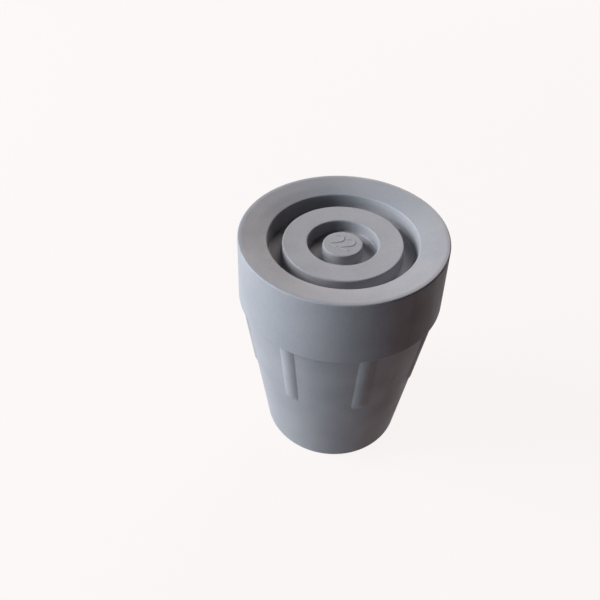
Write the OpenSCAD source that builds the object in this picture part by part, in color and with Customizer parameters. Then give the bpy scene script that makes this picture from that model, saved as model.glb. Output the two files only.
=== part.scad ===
// Push-on rubber foot for the end of a round chair or stool leg.
//
// It is one moulding: a tapered sleeve with a blind socket for the tube, a wide
// flange, and a dished tread of two rings and a button, parted by deep grooves.
// Short grip ribs run down the sleeve from the flange. It stands as it does on
// a bench, socket mouth down on z = 0 and tread up, with Z through the socket.

/* [Socket] */
// Outside diameter of the tube that the foot is pushed onto
tube_d = 22; // [16:0.5:25]
// Width and height of the lead-in chamfer at the mouth
lead_in = 0.8; // [0.3:0.1:1.5]
// Rounding between the wall and the blind end of the socket
socket_round = 1; // [0.2:0.1:2]
// Rubber between the blind end and the floors of the tread's grooves
web_t = 7.4; // [4:0.1:12]

/* [Sleeve] */
// Height from the mouth to the lower edge of the flange
sleeve_h = 38.9; // [30:0.1:50]
// Wall around the tube at the mouth
mouth_wall = 4.75; // [3:0.05:6.5]
// Rounding of the outer edge of the mouth
mouth_round = 0.8; // [0.2:0.1:1.5]

/* [Flange] */
// Diameter across the flange at the tread
tread_d = 41; // [40:0.5:50]
// Height of the flange
flange_h = 14.4; // [12:0.1:20]
// How far the flange's lower edge stands out past its upper one, for draft
flange_draft = 0.5; // [0:0.1:1.5]
// Step in from the flange's lower edge to the top of the sleeve
flange_step = 0.7; // [0.5:0.1:1.5]
// Rounding of the flange's lower edge and of the root of its step
step_round = 0.25; // [0.1:0.05:0.5]

/* [Tread] */
// Diameter of the button in the middle
button_d = 7.9; // [6:0.1:9]
// Width of the groove around the button
inner_groove_w = 3.05; // [2:0.05:3.5]
// Width of the ring between the grooves
ring_w = 4.9; // [3.5:0.1:5.5]
// Width of the groove around the ring
outer_groove_w = 2.95; // [2:0.05:3.5]
// How far each groove wall leans in, from its lip to its floor
groove_draft = 0.12; // [0:0.01:0.4]
// Depth of the groove floors below the rim
floor_drop = 4.9; // [3.6:0.1:7]
// Depth of the button below the rim
button_drop = 2.8; // [0.5:0.1:3.3]
// Depth of the ring's inner edge below the rim
ring_inner_drop = 2.35; // [0.5:0.05:3.1]
// Depth of the ring's outer edge below the rim
ring_outer_drop = 2.15; // [0.5:0.05:3.1]
// Depth of the outer groove's lip below the rim
lip_drop = 1.3; // [0.6:0.1:2.6]
// Depth below the rim halfway out along the slope from that lip to the rim
dish_drop = 0.55; // [0.2:0.05:1.2]
// Radius that bows that slope, so that it grows flatter toward the rim
dish_round = 20; // [5:1:40]
// Width of the level part of the rim, before its edges are rounded
rim_w = 0.8; // [0.7:0.05:2.5]
// Radius that eases the slope into the level rim
crown_round = 1.5; // [0.5:0.5:6]
// Rounding of the rim's outer edge
rim_round = 0.3; // [0.2:0.1:1]
// Rounding of the lips of the grooves
lip_round = 0.3; // [0.1:0.05:0.6]
// Rounding along the groove floors
floor_round = 0.3; // [0.1:0.05:0.6]

/* [Grip ribs] */
// Number of ribs around the sleeve
rib_count = 8; // [4:1:12]
// Width of each rib where its bowed face leaves the sleeve
rib_w = 3.2; // [2:0.1:4.5]
// How far the crest of each rib stands out of the sleeve
rib_h = 0.33; // [0.2:0.01:0.5]
// Length of each rib, down from the flange
rib_l = 17.4; // [8:0.1:28]

/* [Hidden] */
$fn = 96;
// Straight stretches that one rounded corner of a section is drawn with
corner_steps = 6;
// Overlap where one form is sunk into another, or cuts out through a face
bite = 1;

// Heights above the mouth
rim_z = sleeve_h + flange_h;
floor_z = rim_z - floor_drop;
socket_z = floor_z - web_t;
rib_end_z = sleeve_h - rib_l;

// Radii, from the axis out
socket_r = tube_d / 2;
button_r = button_d / 2;
ring_inner_r = button_r + inner_groove_w;
ring_outer_r = ring_inner_r + ring_w;
lip_r = ring_outer_r + outer_groove_w;
rim_r = tread_d / 2;
flange_r = rim_r + flange_draft;
sleeve_top_r = flange_r - flange_step;
mouth_r = socket_r + mouth_wall;

// Outside radius of the sleeve at height z
function sleeve_r(z) = mouth_r + (sleeve_top_r - mouth_r) * z / sleeve_h;

function unit(v) = v / norm(v);

// Arc that rounds the corner q = [x, z, rounding] between its neighbours p and n.
// A rounding takes up at most half of the shorter side that it touches.
function corner(p, q, n) =
    let (
        tip = [q[0], q[1]],
        to_p = [p[0], p[1]] - tip,
        to_n = [n[0], n[1]] - tip,
        half = acos(unit(to_p) * unit(to_n)) / 2,
        reach = min(q[2] / tan(half), norm(to_p) / 2, norm(to_n) / 2),
        centre = tip + unit(unit(to_p) + unit(to_n)) * reach / cos(half),
        from = tip + unit(to_p) * reach - centre,
        to = tip + unit(to_n) * reach - centre,
        turn = sign(cross(from, to)) * (180 - 2 * half)
    )
    [for (i = [0:corner_steps])
        let (a = turn * i / corner_steps)
        centre + [from[0] * cos(a) - from[1] * sin(a), from[0] * sin(a) + from[1] * cos(a)]];

// Outline of a section, from corners given as [x, z] or [x, z, rounding]
function rounded(path) =
    [for (i = [0:len(path) - 1])
        each len(path[i]) == 2
            ? [path[i]]
            : corner(path[i == 0 ? len(path) - 1 : i - 1], path[i], path[(i + 1) % len(path)])];

// Half section of the solid form, from the middle of the tread out and down to the mouth
module form_section() {
    polygon(rounded([
        [0, 0],
        [0, rim_z - button_drop],
        [button_r, rim_z - button_drop, lip_round],
        [button_r + groove_draft, floor_z, floor_round],
        [ring_inner_r - groove_draft, floor_z, floor_round],
        [ring_inner_r, rim_z - ring_inner_drop, lip_round],
        [ring_outer_r, rim_z - ring_outer_drop, lip_round],
        [ring_outer_r + groove_draft, floor_z, floor_round],
        [lip_r - groove_draft, floor_z, floor_round],
        [lip_r, rim_z - lip_drop, lip_round],
        [(lip_r + rim_r - rim_w) / 2, rim_z - dish_drop, dish_round],
        [rim_r - rim_w, rim_z, crown_round],
        [rim_r, rim_z, rim_round],
        [flange_r, sleeve_h, step_round],
        [sleeve_top_r, sleeve_h, step_round],
        [mouth_r, 0, mouth_round]
    ]));
}

// Half section of the socket, open through the mouth
module socket_section() {
    polygon(rounded([
        [0, -bite],
        [socket_r + lead_in + bite, -bite],
        [socket_r, lead_in],
        [socket_r, socket_z, socket_round],
        [0, socket_z]
    ]));
}

// One grip rib along +X: a slim round bar laid down the sleeve's slope and sunk
// in it, so that only a bowed strip shows. Its lower end slopes up to the crest,
// and its upper end runs into the flange.
module grip_rib() {
    slope = atan((sleeve_top_r - mouth_r) / sleeve_h);
    run = (rib_l + bite) / cos(slope);
    // The bar falls away by the rib's height, and by the sleeve's own curve, at its edges
    bar_r = 1 / (2 * rib_h / pow(rib_w / 2, 2) + 1 / sleeve_r(sleeve_h - rib_l / 2));
    translate([sleeve_r(rib_end_z), 0, rib_end_z])
        rotate([0, slope, 0])
            translate([rib_h - bar_r, 0, 0])
                rotate_extrude()
                    polygon([[0, 0], [bar_r - rib_h, 0], [bar_r, rib_h], [bar_r, run], [0, run]]);
}

// The whole moulding
module foot() {
    color("#8e8f95")
        difference() {
            union() {
                rotate_extrude() form_section();
                for (i = [0:rib_count - 1])
                    rotate(i * 360 / rib_count) grip_rib();
            }
            rotate_extrude() socket_section();
        }
}

foot();
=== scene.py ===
"""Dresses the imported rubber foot: a push-on tip for the end of a round tube leg.

The frame stands socket mouth down on z = 0 with the tread up, in metres.
"""

import math

import bpy
from mathutils import Matrix, Vector


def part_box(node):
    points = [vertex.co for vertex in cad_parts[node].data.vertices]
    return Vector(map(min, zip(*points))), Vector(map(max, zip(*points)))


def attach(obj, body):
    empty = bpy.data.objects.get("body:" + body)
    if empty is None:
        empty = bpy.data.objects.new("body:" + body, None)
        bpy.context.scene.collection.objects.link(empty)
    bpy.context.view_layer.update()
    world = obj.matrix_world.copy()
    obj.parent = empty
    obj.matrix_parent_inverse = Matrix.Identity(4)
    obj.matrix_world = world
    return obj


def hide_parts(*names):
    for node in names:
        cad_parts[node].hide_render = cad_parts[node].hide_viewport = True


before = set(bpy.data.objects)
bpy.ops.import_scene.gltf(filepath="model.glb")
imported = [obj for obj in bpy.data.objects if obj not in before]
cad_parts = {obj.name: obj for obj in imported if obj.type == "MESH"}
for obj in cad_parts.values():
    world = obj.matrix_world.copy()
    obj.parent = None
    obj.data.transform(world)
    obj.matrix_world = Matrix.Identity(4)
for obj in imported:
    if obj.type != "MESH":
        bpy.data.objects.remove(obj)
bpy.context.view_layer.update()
rim_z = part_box("foot")[1].z
MM = 0.001


# ---------------------------------------------------------------- camera
# A lens of 36 mm on a 36 mm wide sensor, close above the tread and looking
# down at it, with the tread a little left of and above the picture's middle.
view_azimuth = math.radians(26.8)
view_elevation = math.radians(36.87)
view_distance = 116.85 * MM
look_at_z = 53.2 * MM
aim_yaw = math.radians(3.70)
aim_pitch = math.radians(-6.67)
aim_roll = math.radians(3.83)
camera_data = bpy.data.cameras.new("camera")
camera_data.lens = 36
camera_data.sensor_width = 36
camera_data.clip_start = 2 * MM
camera = bpy.data.objects.new("camera", camera_data)
bpy.context.collection.objects.link(camera)
camera.matrix_world = (
    Matrix.Rotation(view_azimuth, 4, "Z")
    @ Matrix.Translation((
        0,
        -view_distance * math.cos(view_elevation),
        look_at_z + view_distance * math.sin(view_elevation),
    ))
    @ Matrix.Rotation(math.pi / 2 - view_elevation, 4, "X")
    @ Matrix.Rotation(aim_yaw, 4, "Y")
    @ Matrix.Rotation(aim_pitch, 4, "X")
    @ Matrix.Rotation(aim_roll, 4, "Z")
)
bpy.context.scene.camera = camera


# ---------------------------------------------------------------- rubber foot
# One moulding in soft grey rubber: a tapered sleeve with a blind
# socket, a wide flange and a dished tread of two rings and a button. The grip
# ribs are part of the moulding, so they rise from the sleeve with soft flanks.
tread_r = 20.5 * MM
flange_r = 21.0 * MM
flange_low_z = 38.9 * MM
sleeve_top_r = 20.3 * MM
sleeve_mouth_r = 15.75 * MM
socket_r = 11.0 * MM
socket_z = 41.0 * MM
lead_in = 0.8 * MM
groove_floor_z = rim_z - 4.9 * MM
button_r = 3.95 * MM
button_z = rim_z - 2.8 * MM
ring_inner_r = 7.0 * MM
ring_inner_z = rim_z - 2.35 * MM
ring_outer_r = 11.9 * MM
ring_outer_z = rim_z - 2.15 * MM
lip_r = 14.85 * MM
lip_z = rim_z - 1.3 * MM
rim_in_r = 19.7 * MM
dish_z = rim_z - 0.55 * MM
draft = 0.12 * MM
lip_round = 0.3 * MM
floor_round = 0.3 * MM
dish_round = 20 * MM
crown_round = 1.5 * MM
rim_round = 0.3 * MM
step_round = 0.25 * MM
mouth_round = 0.8 * MM
mouth_edge_round = 0.1 * MM
lead_in_round = 0.3 * MM
socket_round = 1 * MM
rib_length = 17.4 * MM
rib_height = 0.33 * MM

# Corners of the half section as (radius, height, rounding), from the middle of
# the tread out, down to the mouth and up into the socket
section = [
    (0, button_z, 0),
    (button_r, button_z, lip_round),
    (button_r + draft, groove_floor_z, floor_round),
    (ring_inner_r - draft, groove_floor_z, floor_round),
    (ring_inner_r, ring_inner_z, lip_round),
    (ring_outer_r, ring_outer_z, lip_round),
    (ring_outer_r + draft, groove_floor_z, floor_round),
    (lip_r - draft, groove_floor_z, floor_round),
    (lip_r, lip_z, lip_round),
    ((lip_r + rim_in_r) / 2, dish_z, dish_round),
    (rim_in_r, rim_z, crown_round),
    (tread_r, rim_z, rim_round),
    (flange_r, flange_low_z, step_round),
    (sleeve_top_r, flange_low_z, step_round),
    (sleeve_mouth_r, 0, mouth_round),
    (socket_r + lead_in, 0, mouth_edge_round),
    (socket_r, lead_in, lead_in_round),
    (socket_r, socket_z, socket_round),
    (0, socket_z, 0),
]
ARC_STEPS = 8
LONGEST_STEP = 0.8 * MM
EDGE_STEP = 0.12 * MM


def arc(before, corner, after):
    """Points of the arc that rounds a corner of the section."""
    tip = Vector(corner[:2])
    to_before = Vector(before[:2]) - tip
    to_after = Vector(after[:2]) - tip
    half = to_before.angle(to_after) / 2
    reach = min(corner[2] / math.tan(half), to_before.length / 2, to_after.length / 2)
    bisector = (to_before.normalized() + to_after.normalized()).normalized()
    centre = tip + bisector * reach / math.cos(half)
    spoke = tip + to_before.normalized() * reach - centre
    turn = math.pi - 2 * half
    if spoke.cross(tip + to_after.normalized() * reach - centre) < 0:
        turn = -turn
    return [
        centre + Matrix.Rotation(turn * i / ARC_STEPS, 2) @ spoke
        for i in range(ARC_STEPS + 1)
    ]


def straight(start, end):
    """Points between two arcs: one close to each, and even steps between those."""
    run = end - start
    if run.length < 4 * EDGE_STEP:
        return []
    edge = run.normalized() * EDGE_STEP
    count = math.ceil((run.length - 2 * EDGE_STEP) / LONGEST_STEP)
    inner = run - 2 * edge
    return [start + edge + inner * i / count for i in range(count + 1)]


def outline(corners):
    """The section's points in order, with its corners rounded."""
    points = [Vector(corners[0][:2])]
    for before, corner, after in zip(corners, corners[1:], corners[2:]):
        bend = arc(before, corner, after)
        points += straight(points[-1], bend[0]) + bend
    last = Vector(corners[-1][:2])
    return points + straight(points[-1], last) + [last]


class Tree:
    """A node tree, with short calls that add a node and link its sockets."""

    def __init__(self, nodes, links):
        self.nodes = nodes
        self.links = links

    def add(self, kind, inputs=None, **settings):
        node = self.nodes.new(kind)
        for name, value in settings.items():
            setattr(node, name, value)
        for key, value in (inputs or {}).items():
            if isinstance(value, bpy.types.NodeSocket):
                self.links.new(value, node.inputs[key])
            else:
                node.inputs[key].default_value = value
        return node

    def math(self, operation, a, b=0.0, c=0.0, clamp=False):
        node = self.add("ShaderNodeMath", {0: a, 1: b, 2: c}, operation=operation, use_clamp=clamp)
        return node.outputs[0]

    def smooth_step(self, value, low, high):
        """0 at low, 1 at high and an even S between them."""
        node = self.add(
            "ShaderNodeMapRange",
            {"Value": value, "From Min": low, "From Max": high},
            interpolation_type="SMOOTHSTEP",
        )
        return node.outputs["Result"]


def turned_tree():
    """Turns a section about Z, and raises grip ribs on its sleeve."""
    group = bpy.data.node_groups.new("turned with grip ribs", "GeometryNodeTree")
    face = group.interface
    face.new_socket("Section", in_out="INPUT", socket_type="NodeSocketGeometry")
    for name in ("Rib count", "Columns per rib"):
        face.new_socket(name, in_out="INPUT", socket_type="NodeSocketInt")
    for name in ("Rib width", "Rib height", "Rib lower end", "Rib end slope"):
        face.new_socket(name, in_out="INPUT", socket_type="NodeSocketFloat")
    face.new_socket("Rubber", in_out="INPUT", socket_type="NodeSocketMaterial")
    face.new_socket("Moulding", in_out="OUTPUT", socket_type="NodeSocketGeometry")
    tree = Tree(group.nodes, group.links)
    given = tree.add("NodeGroupInput").outputs

    # A grid with one row per point of the section and one column per turn step
    rows = tree.add("GeometryNodeAttributeDomainSize", {"Geometry": given["Section"]})
    rows = rows.outputs["Point Count"]
    columns = tree.math("MULTIPLY", given["Rib count"], given["Columns per rib"])
    grid = tree.add(
        "GeometryNodeMeshGrid",
        {"Vertices X": tree.math("ADD", columns, 1), "Vertices Y": rows},
    )
    index = tree.add("GeometryNodeInputIndex").outputs[0]
    row = tree.math("MODULO", index, rows)
    column = tree.math("FLOOR", tree.math("DIVIDE", tree.math("ADD", index, 0.5), rows))

    # The columns crowd together on the ribs' flanks
    pitch = tree.math("DIVIDE", math.tau, given["Rib count"])
    steps = tree.math("DIVIDE", column, given["Columns per rib"])
    nearest_rib = tree.math("ROUND", steps)
    side = tree.math("MULTIPLY", tree.math("SUBTRACT", steps, nearest_rib), 2)
    crowd = tree.add("ShaderNodeFloatCurve", {"Value": tree.math("ABSOLUTE", side)})
    curve = crowd.mapping.curves[0]
    for x, y in ((0.35, 0.18), (0.7, 0.25)):
        curve.points.new(x, y)
    for point in curve.points:
        point.handle_type = "VECTOR"
    crowd.mapping.update()
    share = tree.math("MULTIPLY", crowd.outputs[0], tree.math("SIGN", side))
    off_rib = tree.math("MULTIPLY", tree.math("MULTIPLY", share, pitch), 0.5)
    angle = tree.math("ADD", tree.math("MULTIPLY", nearest_rib, pitch), off_rib)

    # Where the section's point comes to lie, and how far a rib lifts it
    position = tree.add("GeometryNodeInputPosition").outputs[0]
    on_section = tree.add(
        "GeometryNodeSampleIndex",
        {"Geometry": given["Section"], "Value": position, "Index": row},
        data_type="FLOAT_VECTOR",
    )
    lift = tree.add("GeometryNodeInputNamedAttribute", {"Name": "rib_share"}, data_type="FLOAT")
    on_sleeve = tree.add(
        "GeometryNodeSampleIndex",
        {"Geometry": given["Section"], "Value": lift.outputs[0], "Index": row},
        data_type="FLOAT",
    )
    at = tree.add("ShaderNodeSeparateXYZ", {0: on_section.outputs[0]})
    radius, height = at.outputs["X"], at.outputs["Z"]
    aside = tree.math("ABSOLUTE", tree.math("MULTIPLY", radius, tree.math("SINE", off_rib)))
    half_width = tree.math("MULTIPLY", given["Rib width"], 0.5)
    bow = tree.math("POWER", tree.math("DIVIDE", aside, half_width), 2)
    across = tree.math("MAXIMUM", tree.math("SUBTRACT", 1, bow), 0)
    along = tree.smooth_step(
        height,
        given["Rib lower end"],
        tree.math("ADD", given["Rib lower end"], given["Rib end slope"]),
    )
    rise = tree.math("MULTIPLY", across, along)
    rise = tree.math("MULTIPLY", rise, on_sleeve.outputs[0])
    out = tree.math("ADD", radius, tree.math("MULTIPLY", rise, given["Rib height"]))
    place = tree.add("ShaderNodeCombineXYZ", {
        "X": tree.math("MULTIPLY", out, tree.math("COSINE", angle)),
        "Y": tree.math("MULTIPLY", out, tree.math("SINE", angle)),
        "Z": height,
    })
    moved = tree.add("GeometryNodeSetPosition", {
        "Geometry": grid.outputs["Mesh"], "Position": place.outputs[0],
    })
    closed = tree.add("GeometryNodeMergeByDistance", {
        "Geometry": moved.outputs[0], "Distance": 0.001 * MM,
    })
    smooth = tree.add("GeometryNodeSetShadeSmooth", {"Geometry": closed.outputs[0]})
    whole = tree.add("GeometryNodeRealizeInstances", {"Geometry": smooth.outputs[0]})
    dressed = tree.add("GeometryNodeSetMaterial", {
        "Geometry": whole.outputs[0], "Material": given["Rubber"],
    })
    tree.add("NodeGroupOutput", {0: dressed.outputs[0]})
    return group


def rubber():
    """Soft grey rubber as it leaves the mould: matt, a little cloudy, finely grained."""
    material = bpy.data.materials.new("grey_rubber")
    material.use_nodes = True
    tree = Tree(material.node_tree.nodes, material.node_tree.links)
    shader = tree.nodes["Principled BSDF"]
    where = tree.add("ShaderNodeTexCoord").outputs["Object"]

    # Filler and pigment are never quite evenly mixed
    clouds = tree.add("ShaderNodeTexNoise", {"Vector": where, "Scale": 130, "Detail": 3})
    specks = tree.add("ShaderNodeTexNoise", {"Vector": where, "Scale": 2400, "Detail": 2})
    tone = tree.add("ShaderNodeValToRGB", {"Fac": clouds.outputs["Fac"]})
    tone.color_ramp.elements[0].position = 0.3
    tone.color_ramp.elements[0].color = (0.331, 0.328, 0.357, 1)
    tone.color_ramp.elements[1].position = 0.7
    tone.color_ramp.elements[1].color = (0.367, 0.361, 0.386, 1)
    speck_tone = tree.add("ShaderNodeMapRange", {
        "Value": specks.outputs["Fac"], "From Min": 0.35, "From Max": 0.65,
        "To Min": 0.965, "To Max": 1.035,
    })
    mixed = tree.add("ShaderNodeVectorMath", {
        0: tone.outputs["Color"], "Scale": speck_tone.outputs["Result"],
    }, operation="SCALE")
    tree.links.new(mixed.outputs[0], shader.inputs["Base Color"])
    gloss = tree.add("ShaderNodeMapRange", {
        "Value": clouds.outputs["Fac"], "From Min": 0.3, "From Max": 0.7,
        "To Min": 0.62, "To Max": 0.54,
    })
    tree.links.new(gloss.outputs["Result"], shader.inputs["Roughness"])
    shader.inputs["Specular IOR Level"].default_value = 0.5

    # The mould's skin: a faint swell with the grain of blasted steel on it
    swell = tree.add("ShaderNodeTexNoise", {"Vector": where, "Scale": 320, "Detail": 2})
    swell_bump = tree.add("ShaderNodeBump", {
        "Height": swell.outputs["Fac"], "Strength": 0.25, "Distance": 0.15 * MM,
    })
    grain = tree.add("ShaderNodeTexNoise", {"Vector": where, "Scale": 3600, "Detail": 3})
    grain_bump = tree.add("ShaderNodeBump", {
        "Height": grain.outputs["Fac"], "Strength": 0.3, "Distance": 0.03 * MM,
        "Normal": swell_bump.outputs[0],
    })
    tree.links.new(grain_bump.outputs[0], shader.inputs["Normal"])
    return material


def section_line():
    """The section as a line of points in the XZ plane, with the ribs' share of each."""
    points = outline(section)
    mesh = bpy.data.meshes.new("foot section")
    edges = [(i, i + 1) for i in range(len(points) - 1)]
    mesh.from_pydata([(p.x, 0, p.y) for p in points], edges, [])
    share = mesh.attributes.new("rib_share", "FLOAT", "POINT")
    step = flange_r - sleeve_top_r
    for i, point in enumerate(points):
        outside = point.x > socket_r + 2 * lead_in and point.y <= flange_low_z + 0.01 * MM
        past_sleeve = max(0, point.x - sleeve_top_r) / step
        share.data[i].value = (1 - past_sleeve) if outside else 0
    return mesh


def applied(name, holder):
    """The holder's evaluated shape as a plain mesh object, with the holder removed."""
    bpy.context.view_layer.update()
    graph = bpy.context.evaluated_depsgraph_get()
    mesh = bpy.data.meshes.new_from_object(holder.evaluated_get(graph), depsgraph=graph)
    mesh.name = name
    piece = bpy.data.objects.new(name, mesh)
    bpy.context.collection.objects.link(piece)
    bpy.data.objects.remove(holder)
    return piece


grey_rubber = rubber()
holder = bpy.data.objects.new("foot holder", section_line())
bpy.context.collection.objects.link(holder)
turning = holder.modifiers.new("turned with grip ribs", "NODES")
turning.node_group = turned_tree()
rib_sizes = {
    "Rib count": 8,
    "Columns per rib": 36,
    "Rib width": 3.2 * MM,
    "Rib height": rib_height,
    "Rib lower end": flange_low_z - rib_length,
    "Rib end slope": rib_height,
    "Rubber": grey_rubber,
}
for item in turning.node_group.interface.items_tree:
    if item.in_out == "INPUT" and item.name in rib_sizes:
        turning[item.identifier] = rib_sizes[item.name]
foot = applied("rubber_foot", holder)
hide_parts("foot")
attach(foot, "root")


# ---------------------------------------------------------------- moulded number
# The tube's size in millimetres stands up from the button, in low, soft strokes
# with round backs, much as a round-nosed cutter would leave in the mould.
figure_w = 2.1 * MM
figure_h = 3.5 * MM
figure_pitch = 2.43 * MM
number_middle = Vector((-0.3 * MM, 0.3 * MM))
stroke_r = 0.4 * MM
stroke_rise = 0.11 * MM
bow_steps = 18
tip_share = 0.75
tip_growth = 0.08


def figure_two(base_middle):
    """Middle line of a 2 from its tip, round the bow and down to its base."""
    bow_r = figure_w / 2
    bow_y = figure_h - bow_r
    neck = math.atan2(bow_y, bow_r) - math.asin(bow_r / math.hypot(bow_r, bow_y))
    tip_turn = math.radians(165)
    neck_turn = neck - math.pi / 2
    sweep = neck_turn - tip_turn
    turns = [tip_turn + sweep * i / bow_steps for i in range(bow_steps + 1)]
    bow = [Vector((bow_r * math.cos(t), bow_y + bow_r * math.sin(t))) for t in turns]
    base = [Vector((-bow_r, 0)), Vector((bow_r, 0))]
    return [base_middle + point for point in bow + base]


strokes = bpy.data.curves.new("number strokes", "CURVE")
strokes.dimensions = "3D"
strokes.bevel_depth = stroke_r
strokes.bevel_resolution = 4
strokes.use_fill_caps = True
strokes.materials.append(grey_rubber)
for side in (-0.5, 0.5):
    line = figure_two(number_middle + Vector((side * figure_pitch, -figure_h / 2)))
    spline = strokes.splines.new("POLY")
    spline.points.add(len(line) - 1)
    # The tip starts thin, and so low in the face, and is full a few points on
    for i, at in enumerate(line):
        point = spline.points[i]
        point.co = (at.x, at.y, button_z + stroke_rise - stroke_r, 1)
        point.radius = min(1, tip_share + tip_growth * i)
number_holder = bpy.data.objects.new("number holder", strokes)
bpy.context.collection.objects.link(number_holder)
number = applied("moulded_number", number_holder)
number.data.shade_smooth()
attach(number, "root")


# ---------------------------------------------------------------- floor
# A pale bench top that carries the foot. It shows as near white and keeps the
# foot's shadow, while the light that it throws back at the foot stays low.
def pale_floor():
    material = bpy.data.materials.new("pale_floor")
    material.use_nodes = True
    tree = Tree(material.node_tree.nodes, material.node_tree.links)
    tree.nodes.remove(tree.nodes["Principled BSDF"])
    out = tree.nodes["Material Output"]
    rays = tree.add("ShaderNodeLightPath").outputs
    direct = tree.math("MAXIMUM", rays["Is Camera Ray"], rays["Is Glossy Ray"])
    bounce = tree.add("ShaderNodeBsdfDiffuse", {"Color": (0.17, 0.085, 0.09, 1)})
    shown = tree.add("ShaderNodeBsdfDiffuse", {"Color": (0.05, 0.05, 0.05, 1)})
    glow = tree.add("ShaderNodeEmission", {"Color": (0.918, 0.884, 0.875, 1), "Strength": 1.0})
    seen = tree.add("ShaderNodeAddShader", {0: shown.outputs[0], 1: glow.outputs[0]})
    mix = tree.add("ShaderNodeMixShader", {
        "Fac": direct, 1: bounce.outputs[0], 2: seen.outputs[0],
    })
    tree.links.new(mix.outputs[0], out.inputs["Surface"])
    return material


floor_half = 1.5
floor_mesh = bpy.data.meshes.new("floor")
floor_mesh.from_pydata(
    [(x, y, 0) for x, y in (
        (-floor_half, -floor_half), (floor_half, -floor_half),
        (floor_half, floor_half), (-floor_half, floor_half),
    )],
    [], [(0, 1, 2, 3)],
)
floor_mesh.materials.append(pale_floor())
floor = bpy.data.objects.new("floor", floor_mesh)
bpy.context.collection.objects.link(floor)


# ---------------------------------------------------------------- light
# A large soft window on the foot's left with cooler light low down in it, a pale
# warm wall beyond the foot on its right, and a little light from the room.
def soft_lamp(name, azimuth, elevation, distance, size, power, colour):
    data = bpy.data.lights.new(name, "AREA")
    data.shape = "DISK"
    data.size = size
    data.energy = power
    data.color = colour
    lamp = bpy.data.objects.new(name, data)
    bpy.context.collection.objects.link(lamp)
    middle = Vector((0, 0, rim_z / 2))
    level = distance * math.cos(math.radians(elevation))
    away = Vector((
        level * math.cos(math.radians(azimuth)),
        level * math.sin(math.radians(azimuth)),
        distance * math.sin(math.radians(elevation)),
    ))
    lamp.location = middle + away
    lamp.rotation_euler = away.to_track_quat("Z", "Y").to_euler()


soft_lamp("window", azimuth=-150, elevation=30, distance=0.8, size=0.5, power=9.0, colour=(0.915, 0.963, 1))
soft_lamp("window_low", azimuth=-120, elevation=6, distance=0.8, size=0.15, power=3.0, colour=(0.68, 0.9, 1))
soft_lamp("warm_wall", azimuth=105, elevation=25, distance=0.8, size=0.4, power=3.3, colour=(1, 0.908, 0.86))

world = bpy.data.worlds.new("room")
bpy.context.scene.world = world
world.use_nodes = True
room = Tree(world.node_tree.nodes, world.node_tree.links)
room.nodes.clear()
rays = room.add("ShaderNodeLightPath").outputs
soft = room.add("ShaderNodeBackground", {"Color": (1.0, 0.98, 0.97, 1), "Strength": 0.004})
backdrop = room.add("ShaderNodeBackground", {"Color": (0.956, 0.922, 0.913, 1), "Strength": 1})
mix = room.add("ShaderNodeMixShader", {
    "Fac": rays["Is Camera Ray"], 1: soft.outputs[0], 2: backdrop.outputs[0],
})
room.add("ShaderNodeOutputWorld", {"Surface": mix.outputs[0]})
bpy.context.scene.view_settings.view_transform = "Standard"
